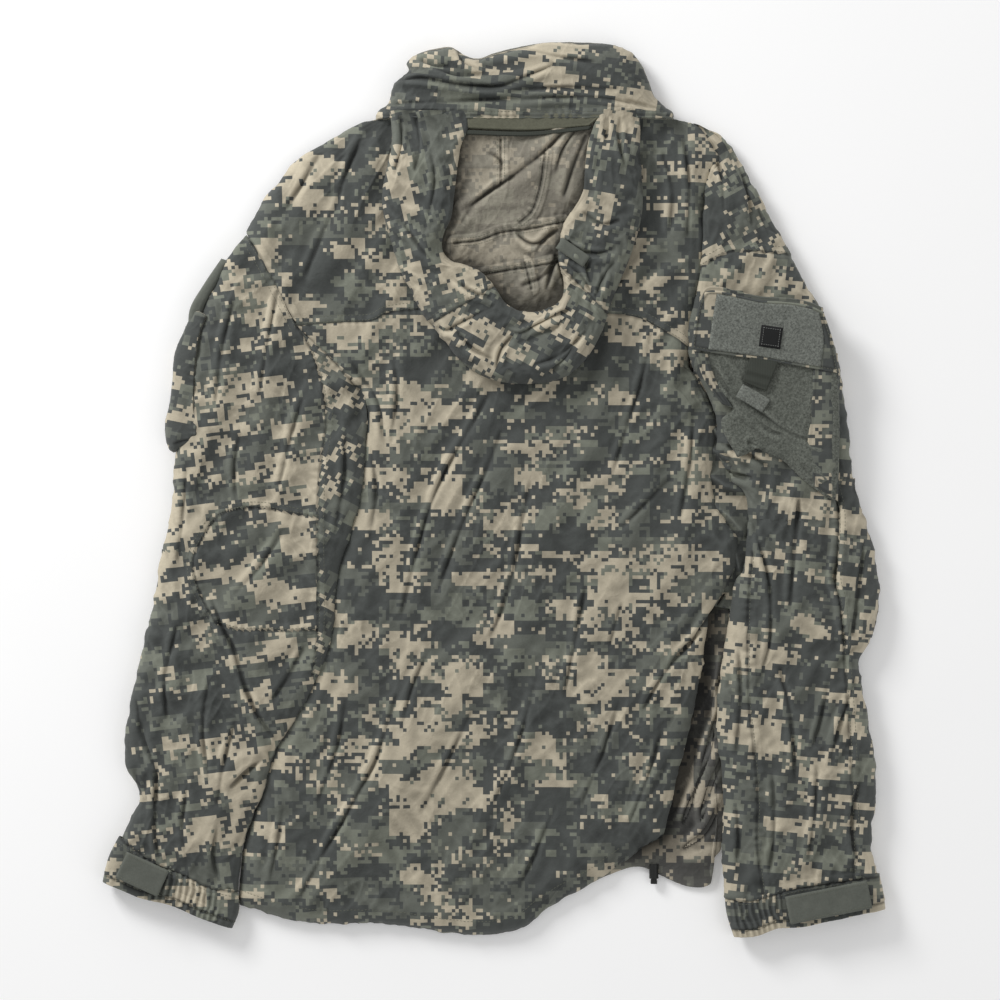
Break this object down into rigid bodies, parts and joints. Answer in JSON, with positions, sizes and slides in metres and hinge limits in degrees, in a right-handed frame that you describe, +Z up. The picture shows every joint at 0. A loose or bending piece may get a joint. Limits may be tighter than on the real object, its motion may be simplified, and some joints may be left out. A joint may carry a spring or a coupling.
{
  "type": "hooded field jacket",
  "caption": "Hooded soft-shell field jacket in block camouflage, laid face down with its hood on its back and its sleeves at its sides.",
  "frame": {"origin": "on the surface that the jacket lies on, under the middle of its outline", "axes": "+Y towards the collar, +X to the right seen from above with the back upwards, +Z up from the surface"},
  "size_m": [0.746, 0.847, 0.048],
  "materials": {
    "camouflage_shell": "soft-shell cloth printed in square blocks of slate, sage, grey and tan",
    "plain_shell": "plain sage soft-shell cloth",
    "hood_lining": "washed-out reverse of the printed cloth",
    "loop_pile": "short matt loop pile",
    "webbing": "narrow ribbed nylon webbing",
    "elastic": "flat knitted elastic",
    "black_cloth": "smooth matt black cloth",
    "zip_tape": "woven zip tape",
    "zip_plastic": "moulded zip teeth",
    "zip_metal": "dark painted die cast metal",
    "lock_plastic": "matt moulded plastic",
    "spring_steel": "bright spring wire"
  },
  "bodies": {
    "jacket": {"back_yoke": "camouflage_shell", "back_panel": "camouflage_shell", "front_panel_left": "camouflage_shell", "front_panel_right": "camouflage_shell", "front_pocket_left": "camouflage_shell", "front_pocket_right": "camouflage_shell", "sleeve_upper_left": "camouflage_shell", "sleeve_upper_right": "camouflage_shell", "sleeve_lower_left": "camouflage_shell", "sleeve_lower_right": "camouflage_shell", "elbow_patch_left": "camouflage_shell", "elbow_patch_right": "camouflage_shell", "cuff_left": "camouflage_shell", "cuff_right": "camouflage_shell", "cuff_elastic_left": "elastic", "cuff_elastic_right": "elastic", "cuff_loop_left": "loop_pile", "cuff_loop_right": "loop_pile", "collar": "camouflage_shell", "hanger_loop": "webbing", "zip_tape_left": "zip_tape", "zip_tape_right": "zip_tape", "zip_teeth_left": "zip_plastic", "zip_teeth_right": "zip_plastic", "zip_stop": "zip_plastic", "zip_guard": "plain_shell", "sleeve_pocket_right": "loop_pile", "pocket_flap_seam_right": "camouflage_shell", "sleeve_pocket_left": "camouflage_shell", "cord_lock_body": "lock_plastic", "cord_lock_spring": "spring_steel"},
    "hood": {"hood_back": "hood_lining", "hood_side_left": "camouflage_shell", "hood_side_right": "camouflage_shell", "hood_crown": "camouflage_shell", "hood_cinch_tab": "hood_lining"},
    "right_pocket_flap": {"pocket_flap_right": "camouflage_shell", "flap_loop_field": "loop_pile", "flap_pull_tab": "webbing", "id_square_base": "black_cloth"},
    "id_cover": {"id_square_cover": "black_cloth"},
    "left_pocket_flap": {"pocket_flap_left": "camouflage_shell"},
    "cuff_tab_left": {"cuff_tab_left": "plain_shell", "cuff_hook_left": "loop_pile"},
    "cuff_tab_right": {"cuff_tab_right": "plain_shell", "cuff_hook_right": "loop_pile"},
    "zip_slider": {"zip_slider": "zip_metal"},
    "zip_pull": {"zip_pull": "zip_metal"},
    "cord_lock_plunger": {"cord_lock_plunger": "lock_plastic"}
  },
  "joints": [
    {"name": "hood_turn", "type": "hinge", "parent": "jacket", "child": "hood", "pos_m": [0.03, 0.35, 0.0353], "axis": [-1, 0, 0], "range_deg": [0, 115]},
    {"name": "right_flap_lift", "type": "hinge", "parent": "jacket", "child": "right_pocket_flap", "pos_m": [0.198, 0.175, 0.0398], "axis": [-0.9907, 0.1363, 0], "range_deg": [0, 120]},
    {"name": "id_cover_lift", "type": "hinge", "parent": "right_pocket_flap", "child": "id_cover", "pos_m": [0.26332, 0.15241, 0.044], "axis": [-0.9903, 0.1392, 0], "range_deg": [0, 110]},
    {"name": "left_flap_swing", "type": "hinge", "parent": "jacket", "child": "left_pocket_flap", "pos_m": [-0.256, 0.216, 0.0155], "axis": [0, 0, -1], "range_deg": [0, 120]},
    {"name": "left_cuff_tab_lift", "type": "hinge", "parent": "jacket", "child": "cuff_tab_left", "pos_m": [-0.35306, -0.35665, 0.0293], "axis": [-0.3963, -0.9181, 0], "range_deg": [0, 120]},
    {"name": "right_cuff_tab_lift", "type": "hinge", "parent": "jacket", "child": "cuff_tab_right", "pos_m": [0.35718, -0.38564, 0.0293], "axis": [-0.1644, 0.9864, 0], "range_deg": [0, 120]},
    {"name": "zip_slider_slide", "type": "slide", "parent": "jacket", "child": "zip_slider", "axis": [0, -1, 0], "range_m": [-0.095, 0.6]},
    {"name": "zip_pull_swing", "type": "hinge", "parent": "zip_slider", "child": "zip_pull", "pos_m": [0.008, 0.3, 0.0008], "axis": [1, 0, 0], "range_deg": [0, 150]},
    {"name": "lock_press", "type": "slide", "parent": "jacket", "child": "cord_lock_plunger", "axis": [0, 1, 0], "range_m": [0, 0.0035], "stiffness_N_per_m": 400, "springref_m": -0.001}
  ]
}
